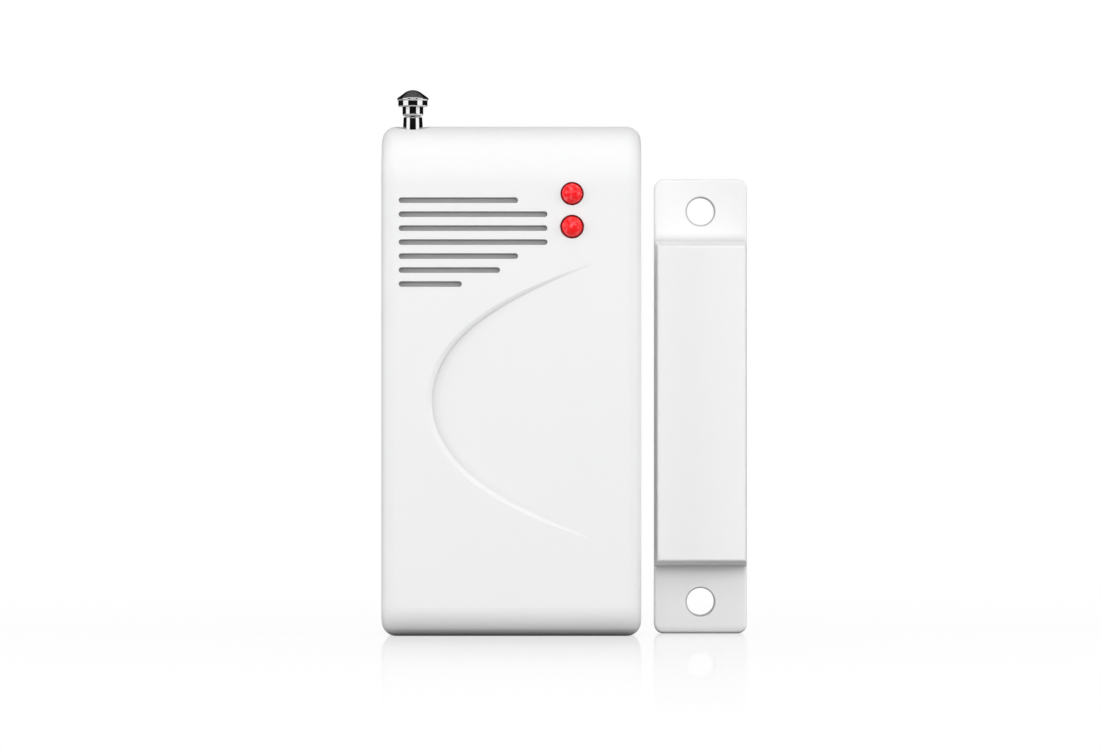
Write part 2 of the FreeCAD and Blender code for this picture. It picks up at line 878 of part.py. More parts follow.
def keyhole(level):
    """A round entry for a screw's head with a narrower slot above it."""
    z = "keyhole_%s_z" % level
    y = "floor_in - past"
    depth = "back_floor + past * 2"
    entry = rod("keyhole_entry_" + level, "keyhole_entry_radius", depth, "0", y, z, "y")
    slot = block(
        "keyhole_slot_" + level,
        ("-keyhole_slot_radius", "keyhole_slot_radius"),
        (y, "(%s) + (%s)" % (y, depth)),
        (z, "%s + keyhole_rise" % z),
    )
    end = rod("keyhole_end_" + level, "keyhole_slot_radius", depth, "0", y, "%s + keyhole_rise" % z, "y")
    return fuse("keyhole_" + level, entry, slot, end)


def back_shell():
    blank = plate("back_blank", "-half_width", "half_width", "bottom", "top", "side_roll", "split", "0")
    solid = blank.Tip
    edges = edges_where(solid, lambda p: near(p.y, 0))
    edged = soften(blank, "back_blank_edge", solid, edges, "back_edge")
    split = value("split")
    parting = edges_where(edged, lambda p: near(p.y, split))
    soften(blank, "back_parting_edge", edged, parting, "rim_edge")
    core = plate(
        "back_core",
        "-inner_half",
        "inner_half",
        "inner_bottom",
        "inner_top",
        "inside_corner",
        "split - past",
        "floor_in",
    )
    bosses = []
    for level in ("upper", "lower"):
        z = "case_screw_%s_z" % level
        for name, radius, tip in (
            ("boss_foot_", "boss_foot_radius", "board_back + boss_board_gap"),
            ("boss_", "boss_radius", "split + boss_gap"),
        ):
            bosses.append(rod(name + level, radius, "-(%s)" % tip, "case_screw_x", tip, z, "y"))
    hollow = cut("back_hollow", core, fuse("back_bosses", *bosses))
    lip = rim_ring(
        "back_lip",
        "half_width - rim_wall - lip_clearance",
        "side_roll - rim_wall - lip_clearance",
        "split - lip_height",
        "split + lip_root",
    )
    tools = [keyhole("upper"), keyhole("lower")]
    for level in ("upper", "lower"):
        z = "case_screw_%s_z" % level
        sunk = "case_screw_sunk + case_screw_head_height"
        for name, radius, length, y in (
            ("screw_recess_", "case_screw_head", "%s + past" % sunk, "-(%s)" % sunk),
            ("screw_way_", "case_screw_radius", "back_depth", "split - past"),
        ):
            tools.append(rod(name + level, radius + " + hole_clearance", length, "case_screw_x", y, z, "y"))
    opening = block(
        "hatch_opening",
        ("-hatch_half_width", "hatch_half_width"),
        ("floor_in - past", "past"),
        ("hatch_bottom", "hatch_top"),
    )
    tools.append(opening)
    shell = fuse("back_walls", cut("back_tray", blank, hollow), lip)
    return cut("back_shell", shell, fuse("back_tools", *tools))


def battery_hatch():
    """The lid of the battery bay: two tongues under the rim below it, a latch above, and ribs to
    push against."""
    y_in = "floor_in"
    y_out = "-hatch_sunk"
    c = "hatch_clearance"
    lid = block(
        "hatch_plate",
        ("-hatch_half_width + " + c, "hatch_half_width - " + c),
        (y_in, y_out),
        ("hatch_bottom + " + c, "hatch_top - " + c),
    )
    parts = [lid]
    under = "floor_in - hatch_sunk"
    deep = "(%s) - tongue_thickness" % under
    for name, middle in (("left", "-tongue_x"), ("right", "tongue_x")):
        x = (middle + " - tongue_width / 2", middle + " + tongue_width / 2")
        root = ("hatch_bottom + " + c, "hatch_bottom + tongue_root")
        parts.append(block("tongue_root_" + name, x, (deep, y_in), root))
        tip = ("hatch_bottom - tongue_reach", "hatch_bottom + tongue_root")
        parts.append(block("tongue_" + name, x, (deep, under), tip))
    finger_z = ("hatch_top - latch_drop - tongue_thickness", "hatch_top - latch_drop")
    parts.append(block("latch_finger", ("-latch_width / 2", "latch_width / 2"), (deep, y_in), finger_z))
    grooves = []
    for i in range(GRIP_GROOVE_COUNT):
        middle = "hatch_top - grip_from_top - grip_pitch * %d" % i
        z = (middle + " - grip_width / 2", middle + " + grip_width / 2")
        y = ("%s - grip_depth" % y_out, "past")
        grooves.append(block("grip_groove_%d" % (i + 1), ("-grip_half_width", "grip_half_width"), y, z))
    return cut("battery_hatch", fuse("hatch_body", *parts), fuse("grip_grooves", *grooves))


def case_screws():
    screws = []
    for level in ("upper", "lower"):
        one = screw(
            "case_screw_" + level,
            "case_screw_head",
            "case_screw_head_height",
            "case_screw_radius",
            "case_screw_length",
        )
        turn(one, V(1, 0, 0), -90)
        screws.append(place(one, "case_screw_x", "-case_screw_sunk", "case_screw_%s_z" % level))
    return group("case_screws", *screws)


def board_screws():
    screws = []
    for i in ("1", "2"):
        one = screw(
            "board_screw_" + i,
            "board_screw_head",
            "board_screw_head_height",
            "board_screw_radius",
            "board_screw_length",
        )
        turn(one, V(1, 0, 0), -90)
        y = "board_back + board_screw_head_height"
        screws.append(place(one, "board_screw_%s_x" % i, y, "board_screw_%s_z" % i))
    return group("board_screws", *screws)


def circuit_board():
    body = new_body("circuit_board")
    sketch = new_sketch(body, "board_outline", "XZ_Plane", "-(board_back)")
    rectangle(sketch, "-(board_half)", "board_half", "board_bottom", "board_top")
    for i in ("1", "2"):
        radius = "board_screw_radius + hole_clearance"
        circle(sketch, "board_screw_%s_x" % i, "board_screw_%s_z" % i, radius)
    for level in ("upper", "lower"):
        circle(sketch, "case_screw_x", "case_screw_%s_z" % level, "boss_radius + boss_board_gap")
        for side in ("-", "+"):
            x = "led_x %s led_lead_spacing / 2" % side
            circle(sketch, x, "led_%s_z" % level, "led_lead_radius + hole_clearance")
    circle(sketch, "antenna_x", "antenna_bottom - lug_hole_drop", "antenna_screw_radius + hole_clearance")
    for side in ("-", "+"):
        z = "reed_z %s (reed_length / 2 + reed_lead_out)" % side
        circle(sketch, "reed_x", z, "reed_lead_radius + hole_clearance")
    pad(body, "board_pad", sketch, "board_thickness")
    return body


def led(level):
    """A round lamp whose dome stands a little proud of the case, turned to face the front."""
    dome = "led_length - led_radius"
    body = turned(
        "led_" + level,
        [
            ("0", "0"),
            ("led_flange_radius", "0"),
            ("led_flange_radius", "led_flange"),
            ("led_radius", "led_flange"),
            ("led_radius", dome, "led_radius", 1),
            ("0", "led_length"),
        ],
    )
    turn(body, V(1, 0, 0), 90)
    return place(body, "led_x", "front - led_proud + led_length", "led_%s_z" % level)


def led_leads():
    leads = []
    y = "front - led_proud + led_length"
    length = "board_back + lead_stick_out - (%s)" % y
    for level in ("upper", "lower"):
        for side in ("-", "+"):
            name = "led_lead_%s_%s" % (level, "left" if side == "-" else "right")
            x = "led_x %s led_lead_spacing / 2" % side
            leads.append(rod(name, "led_lead_radius", length, x, y, "led_%s_z" % level, "y"))
    return group("led_leads", *leads)


def battery():
    shoulder = "battery_length - battery_nub_length"
    body = turned(
        "battery",
        [
            ("0", "0"),
            ("battery_radius - battery_edge", "0", "battery_edge", 1),
            ("battery_radius", "battery_edge"),
            ("battery_radius", shoulder + " - battery_edge", "battery_edge", 1),
            ("battery_radius - battery_edge", shoulder),
            ("battery_nub_radius", shoulder),
            ("battery_nub_radius", "battery_length"),
            ("0", "battery_length"),
        ],
    )
    turn(body, V(0, 1, 0), -90)
    return place(body, "battery_end", "battery_y", "battery_z")


def battery_contact(name, side):
    """A sheet contact at one end of the battery with a leg up to the board: flat at the nub, and
    bowed like a leaf spring at the battery's flat end."""
    body = new_body(name + "_strip")
    sketch = new_sketch(body, name + "_bend", "XZ_Plane", "-(battery_y + contact_width / 2)")
    low = "battery_z - contact_width / 2"
    high = "battery_z + contact_width / 2"
    inside = "battery_end + contact_gap"
    bow = "(leaf_bow / 2 + contact_width * contact_width / (leaf_bow * 8))"
    if side > 0:
        near_x, far_x = inside + " + leaf_bow", inside + " + leaf_bow + contact_thickness"
        corners = [(near_x, low, bow, -1), (near_x, high), (far_x, high, bow, 1), (far_x, low)]
    else:
        near_x, far_x = "-(%s) - contact_thickness" % inside, "-(%s)" % inside
        corners = [(near_x, low), (far_x, low), (far_x, high), (near_x, high)]
    pad(body, name + "_pad", closed(sketch, corners), "contact_width")
    y = ("board_front - contact_leg", "board_front")
    leg = block(name + "_leg", (near_x, far_x), y, (high, "board_bottom + contact_leg_rise"))
    return fuse(name, body, leg)


def antenna_base_tube():
    r = "antenna_radius"
    neck = "antenna_radius - antenna_neck_in"
    body = turned(
        "antenna_base_tube",
        [
            ("base_in", "antenna_bottom"),
            (r, "antenna_bottom"),
            (r, "inner_top"),
            (neck, "antenna_top - antenna_lip", "antenna_lip", 1),
            ("%s - antenna_lip" % neck, "antenna_top"),
            ("base_lip", "antenna_top"),
            ("base_lip", "antenna_top - antenna_lip_height"),
            ("base_in", "antenna_top - antenna_lip_height"),
        ],
    )
    return place(body, "antenna_x", "antenna_y")


def antenna_section(name, outside, inside, foot, lip):
    """A sliding tube: a wider foot that stops below the next tube's lip, and a lip of its own."""
    foot_top = "section_bottom + section_foot"
    body = turned(
        name,
        [
            (inside, "section_bottom"),
            (foot, "section_bottom"),
            (foot, foot_top),
            (outside, foot_top),
            (outside, "antenna_top"),
            (lip, "antenna_top"),
            (lip, "antenna_top - antenna_lip_height"),
            (inside, "antenna_top - antenna_lip_height"),
        ],
    )
    return place(body, "antenna_x", "antenna_y")


def antenna_tip():
    """The innermost rod and the knob that it is pulled out by, turned as one piece."""
    neck_low = "antenna_top + knob_gap"
    cap_low = "%s + knob_neck_height" % neck_low
    cap_high = "%s + knob_cap_height" % cap_low
    rim_high = "%s + knob_rim_height" % cap_high
    dome_top = "%s + knob_dome_height" % rim_high
    tip_radius = "(knob_tip_half * knob_tip_half / knob_tip_rise + knob_tip_rise) / 2"
    foot_top = "section_bottom + section_foot"
    body = turned(
        "antenna_tip",
        [
            ("0", "section_bottom"),
            ("rod_foot", "section_bottom"),
            ("rod_foot", foot_top),
            ("rod_radius", foot_top),
            ("rod_radius", neck_low),
            ("knob_neck_radius - knob_round", neck_low, "knob_round", 1),
            ("knob_neck_radius", "%s + knob_round" % neck_low),
            ("knob_neck_radius", cap_low),
            ("knob_cap_radius - knob_round / 2", cap_low, "knob_round / 2", 1),
            ("knob_cap_radius", "%s + knob_round / 2" % cap_low),
            ("knob_cap_radius", cap_high, "knob_rim_round", 1),
            ("knob_cap_radius", rim_high),
            ("knob_tip_half", "%s - knob_tip_rise" % dome_top, tip_radius, 1),
            ("0", dome_top),
        ],
    )
    return place(body, "antenna_x", "antenna_y")


def antenna_foot():
    """The plug in the base tube's lower end, with a flat lug that is screwed to the board."""
    plug = rod(
        "antenna_plug_rod",
        "base_in - thread_clearance",
        "antenna_plug + plug_in_lug",
        "antenna_x",
        "antenna_y",
        "antenna_bottom - plug_in_lug",
    )
    lug = block(
        "antenna_lug",
        ("antenna_x - lug_width / 2", "antenna_x + lug_width / 2"),
        ("board_front - lug_thickness", "board_front"),
        ("antenna_bottom - lug_length", "antenna_bottom"),
    )
    hole = rod(
        "antenna_lug_hole",
        "antenna_screw_radius + thread_clearance",
        "lug_thickness + past * 2",
        "antenna_x",
        "board_front - lug_thickness - past",
        "antenna_bottom - lug_hole_drop",
        "y",
    )
    return cut("antenna_foot", fuse("antenna_foot_blank", plug, lug), hole)


def antenna_screw():
    one = screw(
        "antenna_screw",
        "antenna_screw_head",
        "antenna_screw_head_height",
        "antenna_screw_radius",
        "antenna_screw_length",
    )
    turn(one, V(1, 0, 0), -90)
    y = "board_back + antenna_screw_head_height"
    return place(one, "antenna_x", y, "antenna_bottom - lug_hole_drop")


def reed_switch_glass():
    """A thin glass tube, closed round the two blades at its ends."""
    bore = "reed_lead_radius + reed_seal_clearance"
    inner = "reed_radius - reed_glass_wall"
    upper = [
        ("reed_radius", "reed_length / 2 - reed_shoulder"),
        ("reed_shoulder", "reed_length / 2"),
        (bore, "reed_length / 2"),
        (bore, "reed_length / 2 - reed_radius"),
        (inner, "reed_length / 2 - reed_radius - reed_shoulder"),
    ]
    lower = [(radius, "-(%s)" % height) for radius, height in reversed(upper)]
    body = turned("reed_switch_glass", upper + lower)
    return place(body, "reed_x", "reed_y", "reed_z")


def reed_blades():
    """Two blades that overlap with a small gap, each with a round lead bent back to the board."""
    blades = []
    for side, sign, name in ((-1, "-", "lower"), (1, "+", "upper")):
        tip = "reed_z %s reed_blade_overlap / 2" % ("+" if side < 0 else "-")
        root = "reed_z %s (reed_length / 2 - reed_radius - reed_shoulder)" % sign
        far = "reed_z %s (reed_length / 2 + reed_lead_out)" % sign
        gap = "reed_blade_gap / 2"
        if side < 0:
            y = ("reed_y - %s - reed_blade_thickness" % gap, "reed_y - " + gap)
        else:
            y = ("reed_y + " + gap, "reed_y + %s + reed_blade_thickness" % gap)
        x = ("reed_x - reed_blade_width / 2", "reed_x + reed_blade_width / 2")
        z = (root, tip) if side < 0 else (tip, root)
        flat = block("reed_flat_" + name, x, y, z)
        low, high = (far, root) if side < 0 else (root, far)
        length = "(%s) - (%s)" % (high, low)
        lead = rod("reed_lead_" + name, "reed_lead_radius", length, "reed_x", "reed_y", low)
        length = "board_back + lead_stick_out - reed_y"
        leg = rod("reed_leg_" + name, "reed_lead_radius", length, "reed_x", "reed_y", far, "y")
        blades.append(fuse("reed_blade_" + name, flat, lead, leg))
    return group("reed_blades", *blades)


def on_board(name, x, z, width, height, thickness, lift="0"):
    """A flat component centred at x, z on the front of the board."""
    return block(
        name,
        ("(%s) - (%s) / 2" % (x, width), "(%s) + (%s) / 2" % (x, width)),
        ("board_front - (%s) - (%s)" % (lift, thickness), "board_front - (%s)" % lift),
        ("(%s) - (%s) / 2" % (z, height), "(%s) + (%s) / 2" % (z, height)),
    )


def encoder_chip():
    size = ("chip_width", "chip_length", "chip_height")
    return on_board("encoder_chip", "chip_x", "chip_z", *size, "chip_lift")


def chip_pins():
    """Nine gull-wing pins down each side of the chip."""
    body = new_body("chip_pins")
    body.AllowCompound = True
    last = PIN_COUNT - 1
    sketch = new_sketch(body, "pin_bends", "XY_Plane", "chip_z - (pin_pitch * %d + pin_width) / 2" % last)
    knee = "board_front - chip_lift - chip_height / 2"
    under_knee = knee + " + pin_thickness"
    on_foot = "board_front - pin_thickness"
    leg = "chip_width / 2 + pin_reach - pin_foot"
    toe = "chip_width / 2 + pin_reach"
    bend = [("chip_width / 2", knee), (leg + " + pin_thickness", knee)]
    bend += [(leg + " + pin_thickness", on_foot), (toe, on_foot), (toe, "board_front")]
    bend += [(leg, "board_front"), (leg, under_knee), ("chip_width / 2", under_knee)]
    closed(sketch, [("chip_x + (%s)" % x, y) for x, y in bend])
    closed(sketch, [("chip_x - (%s)" % x, y) for x, y in bend])
    first = pad(body, "first_pins", sketch, "pin_width")
    rows = body.newObject("PartDesign::LinearPattern", "pin_rows")
    rows.Originals = [first]
    rows.Direction = (sketch, ["N_Axis"])
    rows.Occurrences = PIN_COUNT
    bind(rows, Length="pin_pitch * %d" % last)
    body.Tip = rows
    return body


def saw_resonator():
    body = turned(
        "saw_resonator",
        [
            ("0", "0"),
            ("resonator_radius + resonator_flange", "0"),
            ("resonator_radius + resonator_flange", "resonator_flange_height"),
            ("resonator_radius", "resonator_flange_height"),
            ("resonator_radius", "resonator_height - resonator_edge", "resonator_edge", 1),
            ("resonator_radius - resonator_edge", "resonator_height"),
            ("0", "resonator_height"),
        ],
    )
    turn(body, V(1, 0, 0), 90)
    return place(body, "resonator_x", "board_front", "resonator_z")


def small_parts(name, rows, width, height, thickness):
    """Parts alike, in rows of a count, a first place and a step along x or z to the next."""
    pieces = []
    for count, x, z, step_x, step_z in rows:
        for i in range(count):
            here = ("%s + %s * %d" % (x, step_x, i), "%s - %s * %d" % (z, step_z, i))
            piece = "%s_%d" % (name, len(pieces) + 1)
            pieces.append(on_board(piece, *here, width, height, thickness))
    return group(name, *pieces)


def rf_choke():
    upper = [
        ("choke_radius - choke_waist", "choke_waist_half"),
        ("choke_radius", "choke_shoulder_half"),
        ("choke_radius", "choke_length / 2"),
        ("0", "choke_length / 2"),
    ]
    lower = [(radius, "-(%s)" % height) for radius, height in reversed(upper)]
    body = turned("rf_choke", upper + lower)
    return place(body, "choke_x", "board_front - choke_lift - choke_radius", "choke_z")


def header_row(i):
    return "header_z + header_pitch * (%d - %d / 2)" % (i, HEADER_ROW_COUNT - 1)


def header_bars(name, rows, side, height, lift="0"):
    """Upright square bars at the places of the header's pins, in the two columns of each row."""
    bars = []
    for i in rows:
        for column, x in (("left", "header_x - header_pitch / 2"), ("right", "header_x + header_pitch / 2")):
            piece = "%s_%s_%d" % (name, column, i + 1)
            bars.append(on_board(piece, x, header_row(i), side, side, height, lift))
    return bars


def jumper_header():
    size = ("header_width", "header_length", "header_height")
    base = on_board("header_base", "header_x", "header_z", *size)
    side = "header_pin + header_clearance"
    holes = header_bars("header_hole", range(HEADER_ROW_COUNT), side, "header_height + past")
    return cut("jumper_header", base, fuse("header_holes", *holes))


def header_pins():
    height = "header_height + header_pin_out"
    return group("header_pins", *header_bars("header_pin", range(HEADER_ROW_COUNT), "header_pin", height))


def jumper_caps():
    """Shorting caps across two of the header's rows."""
    caps = []
    for i in CAPPED_ROWS:
        size = ("header_pitch + cap_width", "cap_width", "cap_height")
        outer = on_board("cap_body_%d" % i, "header_x", header_row(i), *size, "header_height + cap_lift")
        side = "header_pin + cap_clearance"
        depth = "header_pin_out + cap_lift * 2"
        holes = header_bars("cap_hole", [i], side, depth, "header_height")
        caps.append(cut("jumper_cap_%d" % i, outer, fuse("cap_holes_%d" % i, *holes)))
    return group("jumper_caps", *caps)


def magnet_case():
    """A flat plate with a screw hole in each end and a raised block between, hollow from behind."""
    body = new_body("magnet_blank")
    sketch = new_sketch(body, "magnet_outline", "XZ_Plane")
    rounded(sketch, "magnet_left", "magnet_right", "bottom", "magnet_top", "magnet_corner")
    base = pad(body, "magnet_plate", sketch, "tab_thickness")
    depth = value("tab_thickness")
    front_edges = edges_where(base, lambda p: near(p.y, -depth))
    soften(body, "magnet_plate_edge", base, front_edges, "tab_edge")

    foot = new_sketch(body, "block_foot", "XZ_Plane", "tab_thickness - tab_edge")
    rectangle(foot, "magnet_left", "magnet_right", "block_bottom", "block_top")
    face = new_sketch(body, "block_face", "XZ_Plane", "magnet_depth")
    rectangle(
        face,
        "magnet_left + block_side_draft",
        "magnet_right - block_side_draft",
        "block_bottom + block_end_draft",
        "block_top - block_end_draft",
    )
    loft = body.newObject("PartDesign::AdditiveLoft", "raised_block")
    loft.Profile = foot
    loft.Sections = [face]
    loft.Ruled = True
    reach = value("magnet_depth")
    face_edges = edges_where(loft, lambda p: near(p.y, -reach))
    soften(body, "block_rim", loft, face_edges, "block_edge")
    holes = new_sketch(body, "hole_outlines", "XZ_Plane", "tab_thickness")
    circle(holes, "magnet_x", "magnet_top - magnet_hole_upper", "magnet_hole_radius")
    circle(holes, "magnet_x", "bottom + magnet_hole_lower", "magnet_hole_radius")
    bored = pocket(body, "screw_holes", holes, "tab_thickness + past")
    middle = value("magnet_x")
    radius = value("magnet_hole_radius")
    rims = edges_where(bored, lambda p: near(p.y, -depth) and abs(p.x - middle) < radius + EDGE_MARGIN)
    soften(body, "hole_rims", bored, rims, "hole_edge")
    cavity = block(
        "magnet_cavity",
        ("magnet_x - cavity_half", "magnet_x + cavity_half"),
        ("cavity_front", "past"),
        ("cavity_low", "cavity_high"),
    )
    rebate = block(
        "plate_rebate",
        ("magnet_x - cavity_half - plate_rim", "magnet_x + cavity_half + plate_rim"),
        ("-plate_thickness", "past"),
        ("cavity_low - plate_rim", "cavity_high + plate_rim"),
    )
    return cut("magnet_case", body, fuse("magnet_hollow", cavity, rebate))


def bar_magnet():
    body = new_body("bar_magnet")
    sketch = new_sketch(body, "bar_outline", "XZ_Plane", "plate_thickness + bar_clearance")
    rectangle(
        sketch,
        "magnet_x - bar_width / 2",
        "magnet_x + bar_width / 2",
        "block_z - bar_length / 2",
        "block_z + bar_length / 2",
    )
    solid = pad(body, "bar_pad", sketch, "bar_thickness")
    edges = edges_where(solid, lambda p: True)
    soften(body, "bar_edges", solid, edges, "bar_edge", "Chamfer")
    return body


def magnet_back_plate():
    grow = "plate_rim - plate_clearance"
    return block(
        "magnet_back_plate",
        ("magnet_x - cavity_half - (%s)" % grow, "magnet_x + cavity_half + (%s)" % grow),
        ("-plate_thickness", "0"),
        ("cavity_low - (%s)" % grow, "cavity_high + (%s)" % grow),
    )


fill_sheet()
CHIP_PART = ("chip_part_width", "chip_part_length", "chip_part_thickness")
NODES = [
    front_shell(),
    back_shell(),
    battery_hatch(),
    case_screws(),
    circuit_board(),
    board_screws(),
    led("upper"),
    led("lower"),
    led_leads(),
    battery(),
    battery_contact("battery_contact_plus", -1),
    battery_contact("battery_contact_minus", 1),
    antenna_base_tube(),
    antenna_section("antenna_section_2", "second_out", "second_in", "second_foot", "second_lip"),
    antenna_section("antenna_section_3", "third_out", "third_in", "third_foot", "third_lip"),
    antenna_tip(),
    antenna_foot(),
    antenna_screw(),
    reed_switch_glass(),
    reed_blades(),
    encoder_chip(),
    chip_pins(),
    saw_resonator(),
    small_parts(
        "transistors",
        [(2, "transistor_x", "transistor_z", "0", "transistor_pitch")],
        "transistor_width",
        "transistor_height",
        "transistor_thickness",
    ),
    rf_choke(),
    small_parts(
        "capacitors",
        [
            (4, "capacitor_x", "capacitor_z", "0", "capacitor_pitch"),
            (1, "lower_row_x + lower_row_pitch * 2", "lower_row_z", "0", "0"),
        ],
        *CHIP_PART,
    ),
    small_parts(
        "resistors",
        [
            (4, "resistor_x", "resistor_z", "resistor_pitch", "0"),
            (2, "lower_row_x", "lower_row_z", "lower_row_pitch", "0"),
        ],
        *CHIP_PART,
    ),
    jumper_header(),
    header_pins(),
    jumper_caps(),
    magnet_case(),
    bar_magnet(),
    magnet_back_plate(),
]
doc.recompute()

for thing in doc.Objects:
    if {"Invalid", "Error"} & set(thing.State):
        raise RuntimeError("%s did not build: %s" % (thing.Name, thing.State))
for node in NODES:
    shape = node.Shape
    if shape.isNull() or not shape.isValid() or not shape.Solids:
        raise RuntimeError("%s has no valid solid" % node.Label)
for node in NODES:
    node.Shape.exportStep("parts/%s.step" % node.Label)
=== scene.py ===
import json
import math

import bpy
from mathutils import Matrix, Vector


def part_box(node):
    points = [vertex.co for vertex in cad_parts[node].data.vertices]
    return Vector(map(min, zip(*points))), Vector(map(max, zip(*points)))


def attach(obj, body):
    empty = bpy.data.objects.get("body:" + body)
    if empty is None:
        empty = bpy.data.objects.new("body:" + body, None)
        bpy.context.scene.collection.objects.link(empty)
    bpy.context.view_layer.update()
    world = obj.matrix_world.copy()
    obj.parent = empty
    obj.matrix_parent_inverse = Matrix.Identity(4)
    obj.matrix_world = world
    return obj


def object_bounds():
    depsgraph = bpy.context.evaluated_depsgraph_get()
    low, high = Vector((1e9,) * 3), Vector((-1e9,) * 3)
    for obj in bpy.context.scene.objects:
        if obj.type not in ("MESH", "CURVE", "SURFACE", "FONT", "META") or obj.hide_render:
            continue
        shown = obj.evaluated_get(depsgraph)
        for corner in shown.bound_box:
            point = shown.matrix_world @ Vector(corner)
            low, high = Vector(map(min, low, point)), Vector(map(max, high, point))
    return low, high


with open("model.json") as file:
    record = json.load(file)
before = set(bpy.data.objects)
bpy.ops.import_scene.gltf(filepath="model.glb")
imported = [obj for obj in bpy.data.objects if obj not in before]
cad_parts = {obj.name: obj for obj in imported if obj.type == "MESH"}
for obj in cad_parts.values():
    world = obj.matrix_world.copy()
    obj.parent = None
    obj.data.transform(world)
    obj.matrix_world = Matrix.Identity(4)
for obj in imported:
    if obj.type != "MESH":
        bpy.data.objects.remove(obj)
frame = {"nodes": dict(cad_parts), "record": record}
bpy.context.view_layer.update()
cad_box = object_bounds()

MM = 0.001
NODES = frame["nodes"]
GROUND = min(corner.z for corner in cad_box)
CASE_LOW, CASE_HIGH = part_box("front_shell")
MAGNET_LOW, MAGNET_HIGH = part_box("magnet_case")
TAB_HOLE_RADIUS = 1.9 * MM
TAB_RIM_SHADE_WIDTH = 0.25 * MM


def add_node(tree, kind, settings=None, **inputs):
    """A new node with its settings, each named input given a value or linked to another's socket."""
    made = tree.nodes.new(kind)
    for name, value in (settings or {}).items():
        setattr(made, name, value)
    for name, value in inputs.items():
        socket = made.inputs[name.replace("_", " ")]
        if isinstance(value, bpy.types.NodeSocket):
            tree.links.new(value, socket)
        else:
            socket.default_value = value
    return made


# Finishes


class Finish:
    """A material whose patterns read the piece's own coordinates, in metres."""

    def __init__(self, name, color, roughness, metallic=0.0, **sockets):
        self.material = bpy.data.materials.new(name)
        self.material.use_nodes = True
        self.tree = self.material.node_tree
        self.surface = self.tree.nodes["Principled BSDF"]
        self.surface.inputs["Base Color"].default_value = (*color, 1.0)
        self.surface.inputs["Roughness"].default_value = roughness
        self.surface.inputs["Metallic"].default_value = metallic
        for socket, value in sockets.items():
            self.surface.inputs[socket.replace("_", " ")].default_value = value
        self.place = self.node("ShaderNodeTexCoord").outputs["Object"]

    def node(self, kind, settings=None, **inputs):
        return add_node(self.tree, kind, settings, **inputs)

    def feed(self, socket, value):
        self.tree.links.new(value, self.surface.inputs[socket])

    def grain(self, size, detail=2.0):
        """Noise from 0 to 1 whose lumps are about that size."""
        noise = self.node("ShaderNodeTexNoise", Vector=self.place, Scale=1.0 / size, Detail=detail)
        return noise.outputs["Fac"]

    def between(self, factor, low, high):
        ramp = self.node("ShaderNodeMapRange", Value=factor, To_Min=low, To_Max=high)
        return ramp.outputs["Result"]

    def mixed(self, factor, first, second):
        mix = self.node("ShaderNodeMix", {"data_type": "RGBA"})
        self.tree.links.new(factor, mix.inputs["Factor"])
        for socket, color in zip([s for s in mix.inputs if s.type == "RGBA"], (first, second)):
            if isinstance(color, bpy.types.NodeSocket):
                self.tree.links.new(color, socket)
            else:
                socket.default_value = (*color, 1.0)
        return [s for s in mix.outputs if s.type == "RGBA"][0]

    def axis(self, name):
        return self.node("ShaderNodeSeparateXYZ", Vector=self.place).outputs[name]

    def step(self, value, start, end):
        """0 before the start, 1 past the end and a soft change between them."""
        settings = {"interpolation_type": "SMOOTHSTEP"}
        inputs = {"Value": value, "From Min": start, "From Max": end}
        return self.node("ShaderNodeMapRange", settings, **inputs).outputs["Result"]

    def covered(self, value, start, end, soft=0.05 * MM):
        """1 between the start and the end and 0 outside, with a narrow soft edge."""
        return self.product(self.step(value, start, start + soft), self.step(value, end, end - soft))

    def cells(self, size):
        """How far a point of the board's plane lies from the edges of uneven cells of that size."""
        flat = self.node("ShaderNodeMapping", Vector=self.place, Scale=(1.0, 0.0, 1.0)).outputs["Vector"]
        settings = {"feature": "DISTANCE_TO_EDGE", "distance": "EUCLIDEAN"}
        cells = self.node("ShaderNodeTexVoronoi", settings, Vector=flat, Scale=0.5 / size)
        return cells.outputs["Distance"]

    def product(self, *values):
        result = values[0]
        for value in values[1:]:
            times = self.node("ShaderNodeMath", {"operation": "MULTIPLY"})
            self.tree.links.new(result, times.inputs[0])
            self.tree.links.new(value, times.inputs[1])
            result = times.outputs[0]
        return result

    def within(self, low, high, soft):
        """1 inside the box between two corners and 0 outside, with soft edges."""
        sides = []
        for name, start, end in zip("XYZ", low, high):
            place = self.axis(name)
            sides.append(self.covered(place, start, end, soft))
        return self.product(*sides)

    def vector(self, operation, first, second):
        """The result of vector maths with a linked first input and a second one, linked or given."""
        made = self.node("ShaderNodeVectorMath", {"operation": operation})
        self.tree.links.new(first, made.inputs[0])
        if isinstance(second, bpy.types.NodeSocket):
            self.tree.links.new(second, made.inputs[1])
        else:
            made.inputs[1].default_value = second
        return made.outputs["Vector"]

    def away(self, middle, along):
        """How far a point lies from the middle, along the axes that are 1 in the second triple."""
        apart = self.vector("MULTIPLY", self.vector("SUBTRACT", self.place, middle), along)
        length = self.node("ShaderNodeVectorMath", {"operation": "LENGTH"})
        self.tree.links.new(apart, length.inputs[0])
        return length.outputs["Value"]

    def ring(self, middle, radius, width):
        """0 up to the radius round a line along Y through the middle, and 1 past the width."""
        return self.step(self.away(middle, (1.0, 0.0, 1.0)), radius + width / 2, radius + width)

    def with_painted_shade(self, color, reach, darkest):
        """The colour with painted shade: inner corners and narrow gaps darker, which sets off the seams.
        """
        corners = self.node("ShaderNodeAmbientOcclusion", {"samples": 8}, Distance=reach)
        shade = self.between(corners.outputs["AO"], darkest, 1.0)
        grey = self.node("ShaderNodeCombineXYZ", X=shade, Y=shade, Z=shade).outputs["Vector"]
        return self.vector("MULTIPLY", color, grey)

    def bumps(self, height, depth, strength=1.0):
        bump = self.node("ShaderNodeBump", Height=height, Distance=depth, Strength=strength)
        self.feed("Normal", bump.outputs["Normal"])


